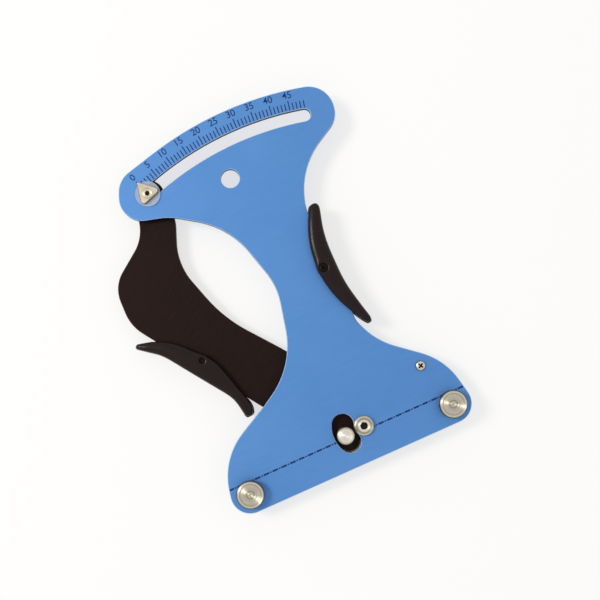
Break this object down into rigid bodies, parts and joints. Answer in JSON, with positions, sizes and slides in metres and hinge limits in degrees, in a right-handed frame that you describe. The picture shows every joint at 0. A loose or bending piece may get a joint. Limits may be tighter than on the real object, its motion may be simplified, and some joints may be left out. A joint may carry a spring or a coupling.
{
  "type": "spoke tension meter",
  "caption": "Hand-held spoke tension meter: a dialled plate with two fixed posts, and a sprung lever whose post bends the spoke and whose pointer reads the bend on an arc scale.",
  "frame": {"origin": "on the axis of a clamped spoke, midway between the two fixed posts, at the middle of their grooves", "axes": "+X along the spoke, +Y across it towards the dial, +Z out of the blue front face"},
  "size_m": [0.1588, 0.2091, 0.0192],
  "materials": {
    "blue_anodised": "satin anodised, faint brushed grain",
    "dark_anodised": "satin black anodised, faint grain",
    "turned_steel": "fine turned",
    "polished_steel": "bright polished",
    "nickel_plate": "satin nickel plated",
    "zinc_steel": "bright zinc plated",
    "spring_wire": "drawn wire",
    "black_screw": "black zinc",
    "bronze": "plain turned",
    "nylon": "natural nylon",
    "black_plastic": "fine moulded satin"
  },
  "bodies": {
    "plate": {"face_plate": "blue_anodised", "fixed_post_left": "turned_steel", "fixed_post_right": "turned_steel", "fixed_post_washers": "zinc_steel", "fixed_post_nuts": "zinc_steel", "pivot_screw": "turned_steel", "pivot_spacer": "nylon", "pivot_washer": "zinc_steel", "pivot_nut": "zinc_steel", "spring_anchor": "zinc_steel", "spring_anchor_screw": "turned_steel", "return_spring": "spring_wire", "palm_grip_front": "black_plastic", "palm_grip_rear": "black_plastic", "palm_grip_screw": "black_screw"},
    "lever": {"lever_arm": "dark_anodised", "pivot_bush": "bronze", "moving_post": "polished_steel", "moving_post_screw": "zinc_steel", "spring_tail_pin": "zinc_steel", "pointer": "nickel_plate", "pointer_stud": "nylon", "pointer_screw": "nickel_plate", "pointer_washer": "zinc_steel", "pointer_nut": "zinc_steel", "finger_grip_front": "black_plastic", "finger_grip_rear": "black_plastic", "finger_grip_screw": "black_screw"}
  },
  "joints": [
    {"name": "lever_pivot", "type": "hinge", "parent": "plate", "child": "lever", "pos_m": [0.0115, 0.0026, -0.0078], "axis": [0, 0, 1], "range_deg": [-32.2, 0], "stiffness_Nm_per_rad": 1.39, "springref_deg": 19.31, "deforming": ["return_spring"]}
  ]
}
